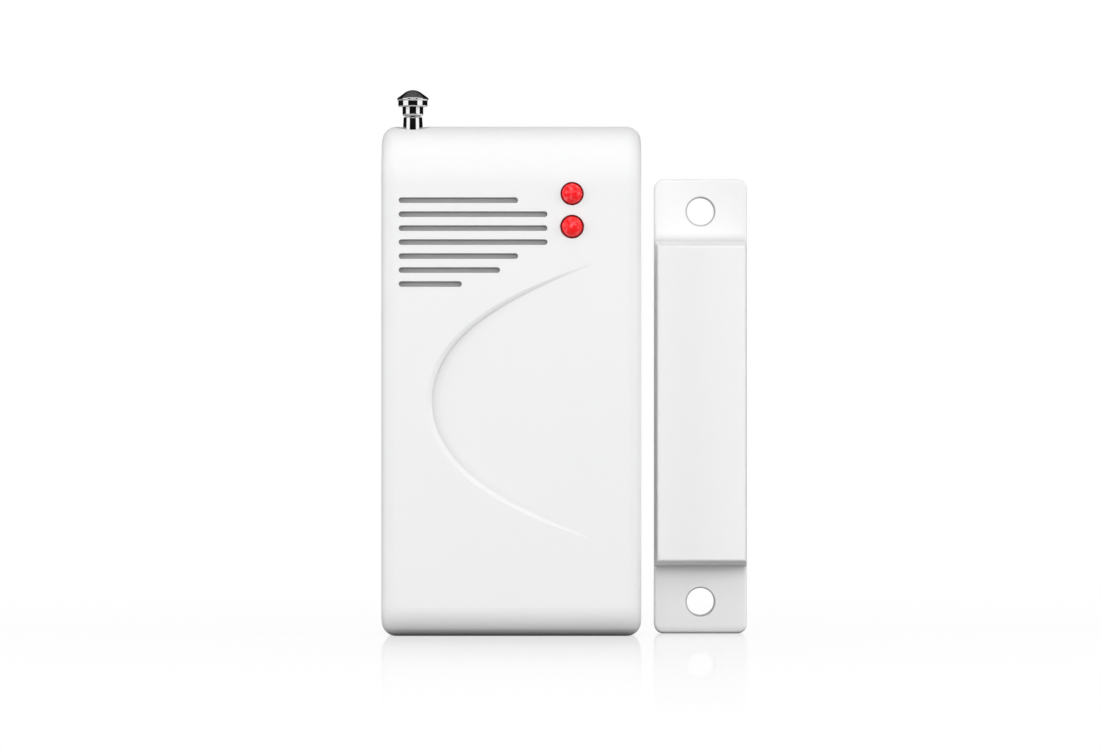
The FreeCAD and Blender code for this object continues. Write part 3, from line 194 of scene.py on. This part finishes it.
def groove_painted_shade(finish):
    """Where the grooves' painted shade goes: 1 inside the front's seven grooves, from just below their
    edges, and 0 elsewhere.
    """
    front = CASE_LOW.y
    low = (-15.9 * MM, front + 0.25 * MM, 12.4 * MM)
    high = (5.6 * MM, front + 1.3 * MM, 26.2 * MM)
    return finish.within(low, high, soft=0.3 * MM)


def tab_holes():
    """The middles of the magnet unit's two screw holes, from the record's bolt pattern."""
    mounts = {mount["name"]: mount for mount in frame["record"]["mounts"]}
    pattern = mounts["magnet_screw_holes"]
    x, y, z = pattern["pos_m"]
    half = pattern["dims"]["spacing_y_mm"] * MM / 2
    return [(x, y, z - half), (x, y, z + half)]


def moulded_white(name):
    """Satin ABS: a fine spark-eroded grain and a colour that drifts very slightly, a little whiter
    on the magnet unit as painted light, which matches the photo and isn't known of the real plastic.
    So are the grey in the grooves and the darker rim round each screw hole, which are painted shade,
    and the painted shade in inner corners and narrow gaps."""
    finish = Finish(name, (0.88, 0.88, 0.88), 0.4, IOR=1.5)
    drift = finish.grain(18 * MM)
    color = finish.mixed(drift, (0.872, 0.876, 0.878), (0.888, 0.888, 0.884))
    # Painted light: the magnet unit is painted a little whiter than the case.
    unit = finish.step(finish.axis("X"), CASE_HIGH.x, MAGNET_LOW.x)
    color = finish.mixed(unit, color, (0.9, 0.9, 0.898))
    # Painted shade: the grooves are painted grey inside.
    color = finish.mixed(groove_painted_shade(finish), color, (0.62, 0.62, 0.62))
    # Painted shade: grey on the rim and down the wall of each screw hole.
    for hole in tab_holes():
        past_rim = finish.ring(hole, TAB_HOLE_RADIUS, TAB_RIM_SHADE_WIDTH)
        color = finish.mixed(past_rim, (0.5, 0.5, 0.5), color)
    # Painted shade: creases, the relief's edge and the grooves darker in the colour.
    finish.feed("Base Color", finish.with_painted_shade(color, reach=1.2 * MM, darkest=0.42))
    grain = finish.grain(0.12 * MM, detail=3.0)
    finish.feed("Roughness", finish.between(grain, 0.36, 0.46))
    finish.bumps(grain, 0.008 * MM, 0.5)
    return finish.material


def metal(name, color, roughness, grain_size, spread=0.06, depth=0.001):
    """A metal whose gloss varies by the spread, with a fine relief of that depth in millimetres."""
    finish = Finish(name, color, roughness, 1.0)
    lighter = tuple(min(1.0, c * 1.05) for c in color)
    drifting = finish.mixed(finish.grain(4 * MM), color, lighter)
    # Painted shade: recesses and undercuts of the metal darker in the colour.
    finish.feed("Base Color", finish.with_painted_shade(drifting, reach=0.7 * MM, darkest=0.15))
    grain = finish.grain(grain_size, detail=4.0)
    finish.feed("Roughness", finish.between(grain, max(roughness - spread, 0.0), roughness + spread))
    finish.bumps(grain, depth * MM)
    return finish.material


def plastic(name, color, roughness):
    """A coloured plastic or ceramic that drifts to a lighter tone here and there."""
    finish = Finish(name, color, roughness)
    lighter = tuple(min(1.0, c * 1.15 + 0.004) for c in color)
    grain = finish.grain(0.2 * MM, detail=3.0)
    finish.feed("Base Color", finish.mixed(finish.grain(3 * MM), color, lighter))
    finish.feed("Roughness", finish.between(grain, roughness - 0.05, roughness + 0.05))
    finish.bumps(grain, 0.01 * MM, 0.5)
    return finish.material


def battery_sleeve():
    """A shrink sleeve in gold and black over a metal can, which shows at both ends."""
    finish = Finish("battery sleeve", (0.72, 0.5, 0.1), 0.22)
    low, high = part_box("battery")
    along = finish.axis("X")
    gold = finish.mixed(finish.grain(1.5 * MM), (0.7, 0.46, 0.09), (0.78, 0.54, 0.13))
    band = finish.covered(along, low.x + 9.0 * MM, high.x - 4.0 * MM)
    printed = finish.mixed(band, (0.014, 0.015, 0.02), gold)
    bare = finish.between(finish.covered(along, low.x + 1.75 * MM, high.x - 0.4 * MM), 1.0, 0.0)
    finish.feed("Base Color", finish.mixed(bare, printed, (0.74, 0.74, 0.75)))
    finish.feed("Metallic", bare)
    finish.feed("Roughness", finish.between(finish.grain(0.4 * MM, 3.0), 0.16, 0.28))
    finish.bumps(finish.grain(2.0 * MM), 0.02 * MM, 0.6)
    return finish.material


def solder_mask():
    """Green mask over copper, which shows as paler raised fields between narrow gaps."""
    finish = Finish("solder mask", (0.02, 0.14, 0.05), 0.25)
    lanes = finish.cells(1.27 * MM)
    tracks = finish.step(lanes, 0.3, 0.34)
    green = finish.mixed(tracks, (0.012, 0.11, 0.04), (0.03, 0.2, 0.075))
    finish.feed("Base Color", green)
    finish.feed("Roughness", finish.between(finish.grain(0.6 * MM), 0.2, 0.3))
    finish.bumps(tracks, 0.03 * MM, 0.7)
    return finish.material


def red_lens():
    """Glossy red epoxy with paler pink patches in places, which are painted highlights."""
    finish = Finish("red lens", (1.0, 0.012, 0.015), 0.05, IOR=1.5)
    painted_glint = finish.step(finish.grain(0.55 * MM, 3.0), 0.45, 0.75)
    # Painted highlights: pink patches mixed into the red.
    finish.feed("Base Color", finish.mixed(painted_glint, (1.0, 0.008, 0.012), (1.0, 0.13, 0.15)))
    return finish.material


def clear_glass():
    """The reed switch's tube, a little less smooth here and there."""
    finish = Finish("clear glass", (0.93, 0.98, 0.95), 0.02, IOR=1.5, Transmission_Weight=1.0)
    finish.feed("Roughness", finish.between(finish.grain(1.5 * MM), 0.01, 0.05))
    return finish.material


def dress_nodes():
    """Gives every CAD node the finish of its slot in the record, and returns the finishes."""
    finishes = {
        "white_shell": moulded_white("moulded white"),
        "steel": metal("plated steel", (0.62, 0.62, 0.64), 0.28, 0.3 * MM),
        "board_green": solder_mask(),
        "led_red": red_lens(),
        "tinned_wire": metal("tinned", (0.75, 0.75, 0.77), 0.3, 0.2 * MM),
        "battery_sleeve": battery_sleeve(),
        "spring_steel": metal("nickel plate", (0.7, 0.69, 0.66), 0.2, 0.3 * MM),
        "chrome": metal("mirror chrome", (0.9, 0.9, 0.91), 0.03, 0.8 * MM, spread=0.01, depth=0.0001),
        "brass": metal("turned brass", (0.78, 0.6, 0.28), 0.25, 0.2 * MM),
        "clear_glass": clear_glass(),
        "black_epoxy": plastic("black epoxy", (0.02, 0.02, 0.022), 0.5),
        "choke_body": plastic("dipped green", (0.12, 0.28, 0.16), 0.35),
        "ceramic_tan": plastic("tan ceramic", (0.45, 0.3, 0.18), 0.4),
        "black_plastic": plastic("black nylon", (0.025, 0.025, 0.03), 0.4),
        "gold_pins": metal("gold flash", (0.86, 0.68, 0.32), 0.2, 0.2 * MM),
        "magnet_grey": plastic("sintered ferrite", (0.09, 0.09, 0.095), 0.6),
    }
    for part in frame["record"]["subparts"]:
        node = NODES[part["node"]]
        for place in node.material_slots:
            place.material = finishes[part["material_slot"]]
    return finishes


FINISHES = dress_nodes()


# Solder on the back of the board

SOLDER_INPUTS = {
    "Columns": "NodeSocketInt",
    "Rows": "NodeSocketInt",
    "Width": "NodeSocketFloat",
    "Height": "NodeSocketFloat",
    "Land": "NodeSocketFloat",
    "Lead": "NodeSocketFloat",
    "Rise": "NodeSocketFloat",
    "Middle": "NodeSocketVector",
    "Finish": "NodeSocketMaterial",
}
SOLDER_RISE = 0.6 * MM
LAND_RADIUS = 0.8 * MM


def solder_tree():
    """A joint at each place of a grid of leads, drawn in from its wide land to the lead."""
    tree = bpy.data.node_groups.new("solder joints", "GeometryNodeTree")
    tree.interface.new_socket("Geometry", in_out="OUTPUT", socket_type="NodeSocketGeometry")
    for name, kind in SOLDER_INPUTS.items():
        tree.interface.new_socket(name, in_out="INPUT", socket_type=kind)
    given = add_node(tree, "NodeGroupInput").outputs

    def reckon(operation, first, second):
        made = add_node(tree, "ShaderNodeMath", {"operation": operation})
        for socket, value in zip(made.inputs, (first, second)):
            if isinstance(value, bpy.types.NodeSocket):
                tree.links.new(value, socket)
            else:
                socket.default_value = value
        return made.outputs[0]

    post = add_node(
        tree,
        "GeometryNodeMeshCylinder",
        {"fill_type": "TRIANGLE_FAN"},
        Vertices=24,
        Side_Segments=8,
        Radius=1.0,
        Depth=given["Rise"],
    )
    position = add_node(tree, "GeometryNodeInputPosition").outputs["Position"]
    place = add_node(tree, "ShaderNodeSeparateXYZ", Vector=position)
    down = reckon("SUBTRACT", 0.5, reckon("DIVIDE", place.outputs["Z"], given["Rise"]))
    spread = reckon("SUBTRACT", given["Land"], given["Lead"])
    flare = reckon("MULTIPLY", spread, reckon("POWER", down, 2.0))
    radius = reckon("ADD", given["Lead"], flare)
    drawn = add_node(
        tree,
        "ShaderNodeCombineXYZ",
        X=reckon("MULTIPLY", place.outputs["X"], radius),
        Y=reckon("MULTIPLY", place.outputs["Y"], radius),
        Z=reckon("ADD", place.outputs["Z"], reckon("MULTIPLY", given["Rise"], 0.5)),
    )
    joint = add_node(
        tree,
        "GeometryNodeSetPosition",
        Geometry=post.outputs["Mesh"],
        Position=drawn.outputs["Vector"],
    )
    smooth = add_node(
        tree,
        "GeometryNodeSetShadeSmooth",
        Geometry=joint.outputs["Geometry"],
        Selection=post.outputs["Side"],
    )
    leads = add_node(
        tree,
        "GeometryNodeMeshGrid",
        Size_X=given["Width"],
        Size_Y=given["Height"],
        Vertices_X=given["Columns"],
        Vertices_Y=given["Rows"],
    )
    joints = add_node(
        tree,
        "GeometryNodeInstanceOnPoints",
        Points=leads.outputs["Mesh"],
        Instance=smooth.outputs["Geometry"],
    )
    real = add_node(tree, "GeometryNodeRealizeInstances", Geometry=joints.outputs["Instances"])
    on_board = add_node(
        tree,
        "GeometryNodeTransform",
        Geometry=real.outputs["Geometry"],
        Rotation=(-math.pi / 2, 0.0, 0.0),
        Translation=given["Middle"],
    )
    dressed = add_node(
        tree,
        "GeometryNodeSetMaterial",
        Geometry=on_board.outputs["Geometry"],
        Material=given["Finish"],
    )
    add_node(tree, "NodeGroupOutput", Geometry=dressed.outputs["Geometry"])
    return tree


def grown(name, tree, body, slot, **values):
    """What the tree makes of the values, as a plain mesh that rides the body."""
    thing = bpy.data.objects.new(name, bpy.data.meshes.new(name))
    bpy.context.scene.collection.objects.link(thing)
    maker = thing.modifiers.new("maker", "NODES")
    maker.node_group = tree
    for item in tree.interface.items_tree:
        if item.in_out == "INPUT":
            maker[item.identifier] = FINISHES[slot] if item.name == "Finish" else values[item.name]
    bpy.context.view_layer.update()
    made = thing.evaluated_get(bpy.context.evaluated_depsgraph_get())
    mesh = bpy.data.meshes.new_from_object(made)
    thing.modifiers.remove(maker)
    thing.data = mesh
    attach(thing, body)


def solder_joints():
    """Joints where the leads of the lamps, the reed switch and the header come through the board."""
    tree = solder_tree()
    board_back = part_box("circuit_board")[1].y
    for name, node, lead, columns, rows in (
        ("solder_lamps", "led_leads", 0.24 * MM, 2, 2),
        ("solder_reed", "reed_blades", 0.25 * MM, 1, 2),
        ("solder_header", "header_pins", 0.32 * MM, 2, 4),
    ):
        low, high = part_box(node)
        grown(
            name,
            tree,
            "transmitter",
            "tinned_wire",
            Columns=columns,
            Rows=rows,
            Width=high.x - low.x - 2 * lead if columns > 1 else 0.0,
            Height=high.z - low.z - 2 * lead,
            Land=LAND_RADIUS,
            Lead=lead,
            Rise=SOLDER_RISE,
            Middle=((low.x + high.x) / 2, board_back, (low.z + high.z) / 2),
        )


solder_joints()


# Studio: floor, surroundings, lamps and camera

SUBJECT = Vector((5.3 * MM, 0.0, 0.8 * MM))
CAMERA_PLACE = Vector((5.3 * MM, -1.0, 0.8 * MM))
CAMERA_LENS = 235.6
AMBIENT = 0.44
FLOOR_HALF = 12.0
SHADE_START = 0.02
SHADE_END = 0.26
SHADOW_SHARE = 0.12
NEAR_GLOW = 0.94
MIRROR_SHARE = 0.37
FLAG_RADIUS = 1.5
FLAG_TOP = 1.4
FLAG_SHADE = 0.01
CEILING_SHADE = 0.3

# Name, azimuth and elevation in degrees, distance, width, height, watts, and whether gloss shows it
SOFTBOXES = (
    ("key", 0, 24, 0.55, 0.4, 0.24, 0.35, True),
    ("spot", 0, 12, 0.6, 0.16, 0.12, 0.67, False),
    ("fill", 0, -2, 0.85, 0.5, 0.4, 2.2, False),
    ("side_left", -70, 10, 0.8, 0.3, 0.6, 2.3, False),
    ("side_right", 70, 10, 0.8, 0.3, 0.6, 2.3, False),
    ("overhead", 0, 80, 0.5, 0.5, 0.3, 0.38, True),
    ("back_left", -162, 20, 0.9, 0.5, 0.5, 2.5, False),
    ("back_right", 162, 20, 0.9, 0.5, 0.5, 2.5, False),
)

# Name, first and last azimuth in degrees, and lower edge
FLAGS = (
    ("flag_front", -37, 37, -0.3),
    ("flag_left", -166, -80, -0.3),
    ("flag_right", 80, 166, -0.3),
    ("flag_back", 166, 194, 0.15),
)


def floor_finish():
    """White to the eye, with the object's shadow and a faint mirror image that fades with distance
    and in views from higher up."""
    finish = Finish("studio floor", (0.3, 0.3, 0.3), 0.6)
    tree = finish.tree
    out = tree.nodes["Material Output"]
    reach = finish.away((0.0, 0.0, 0.0), (1.0, 1.0, 0.0))
    nearness = finish.step(reach, SHADE_END, SHADE_START)
    lit_share = finish.between(nearness, 0.0, SHADOW_SHARE)
    glow = finish.node("ShaderNodeEmission", Color=(1.0, 1.0, 1.0, 1.0))
    tree.links.new(finish.between(nearness, 1.0, NEAR_GLOW), glow.inputs["Strength"])
    lit = finish.node("ShaderNodeBsdfDiffuse")
    tree.links.new(finish.mixed(lit_share, (0.0, 0.0, 0.0), (1.0, 1.0, 1.0)), lit.inputs["Color"])
    seen = finish.node("ShaderNodeAddShader")
    tree.links.new(glow.outputs[0], seen.inputs[0])
    tree.links.new(lit.outputs[0], seen.inputs[1])
    mirror = finish.node("ShaderNodeBsdfGlossy", Roughness=0.04)
    polished = finish.node("ShaderNodeMixShader")
    grazing = finish.node("ShaderNodeFresnel", IOR=1.45).outputs["Fac"]
    mirror_share = finish.product(finish.between(nearness, 0.0, MIRROR_SHARE), grazing)
    tree.links.new(mirror_share, polished.inputs["Fac"])
    tree.links.new(seen.outputs[0], polished.inputs[1])
    tree.links.new(mirror.outputs[0], polished.inputs[2])
    eye = finish.node("ShaderNodeLightPath").outputs["Is Camera Ray"]
    both = finish.node("ShaderNodeMixShader", Fac=eye)
    tree.links.new(finish.surface.outputs[0], both.inputs[1])
    tree.links.new(polished.outputs[0], both.inputs[2])
    tree.links.new(both.outputs[0], out.inputs["Surface"])
    return finish.material


def stage_mesh(name, corners, faces, material):
    """A mesh of the studio, which isn't part of the object."""
    mesh = bpy.data.meshes.new(name)
    mesh.from_pydata(corners, [], faces)
    mesh.materials.append(material)
    thing = bpy.data.objects.new(name, mesh)
    bpy.context.scene.collection.objects.link(thing)
    return thing


def floor():
    h = FLOOR_HALF
    corners = [(-h, -h, GROUND), (h, -h, GROUND), (h, h, GROUND), (-h, h, GROUND)]
    stage_mesh("studio_floor", corners, [(0, 1, 2, 3)], floor_finish())


def around(azimuth, radius, height):
    """A point round the object: azimuth 0 is where the camera stands, and it grows to the right."""
    turn = math.radians(azimuth)
    return Vector((math.sin(turn) * radius, -math.cos(turn) * radius, height))


def flag(name, start, end, low):
    """A dark card bent round the object."""
    steps = 16
    corners = []
    for i in range(steps + 1):
        azimuth = start + (end - start) * i / steps
        corners += [around(azimuth, FLAG_RADIUS, low), around(azimuth, FLAG_RADIUS, FLAG_TOP)]
    faces = [(2 * i, 2 * i + 2, 2 * i + 3, 2 * i + 1) for i in range(steps)]
    dark_card(name, corners, faces, FLAG_SHADE)


def ceiling():
    """A grey card above the object, which the top of the antenna's knob shows."""
    h = FLAG_RADIUS
    corners = [(-h, -h, FLAG_TOP), (h, -h, FLAG_TOP), (h, h, FLAG_TOP), (-h, h, FLAG_TOP)]
    dark_card("ceiling", corners, [(0, 1, 2, 3)], CEILING_SHADE)


def dark_card(name, corners, faces, shade):
    """A card that shows only in what is polished."""
    card = stage_mesh(name, corners, faces, Finish(name, (shade,) * 3, 1.0).material)
    card.visible_camera = False
    card.visible_diffuse = False
    card.visible_shadow = False
    card.visible_transmission = False


def softbox(name, azimuth, elevation, distance, width, height, power, in_gloss):
    """An area lamp that faces the object and that no camera sees."""
    lamp = bpy.data.lights.new(name, "AREA")
    lamp.shape = "RECTANGLE"
    lamp.size, lamp.size_y = width, height
    lamp.energy = power
    thing = bpy.data.objects.new(name, lamp)
    bpy.context.scene.collection.objects.link(thing)
    rise = math.radians(elevation)
    thing.location = SUBJECT + around(azimuth, distance * math.cos(rise), distance * math.sin(rise))
    thing.rotation_euler = (SUBJECT - thing.location).to_track_quat("-Z", "Y").to_euler()
    thing.visible_camera = False
    thing.visible_glossy = in_gloss


def surroundings():
    """White to the eye and in what is polished, and dim as a light."""
    world = bpy.data.worlds.new("studio")
    bpy.context.scene.world = world
    world.use_nodes = True
    tree = world.node_tree
    path = tree.nodes.new("ShaderNodeLightPath")
    background = tree.nodes["Background"]
    background.inputs["Color"].default_value = (1.0, 1.0, 1.0, 1.0)
    strength = None
    for ray in ("Is Camera Ray", "Is Glossy Ray", "Is Transmission Ray"):
        most = tree.nodes.new("ShaderNodeMath")
        most.operation = "MAXIMUM"
        tree.links.new(path.outputs[ray], most.inputs[0])
        if strength is None:
            most.inputs[1].default_value = AMBIENT
        else:
            tree.links.new(strength, most.inputs[1])
        strength = most.outputs[0]
    tree.links.new(strength, background.inputs["Strength"])


def camera():
    """Set to match the photo's view: level, in front of the pair's middle, with a long lens."""
    lens = bpy.data.cameras.new("camera")
    lens.sensor_width = 36.0
    lens.lens = CAMERA_LENS
    thing = bpy.data.objects.new("camera", lens)
    thing.location = CAMERA_PLACE
    thing.rotation_euler = (math.pi / 2, 0.0, 0.0)
    bpy.context.scene.collection.objects.link(thing)
    bpy.context.scene.camera = thing


floor()
surroundings()
for row in SOFTBOXES:
    softbox(*row)
ceiling()
for row in FLAGS:
    flag(*row)
camera()
bpy.context.scene.view_settings.view_transform = "Standard"
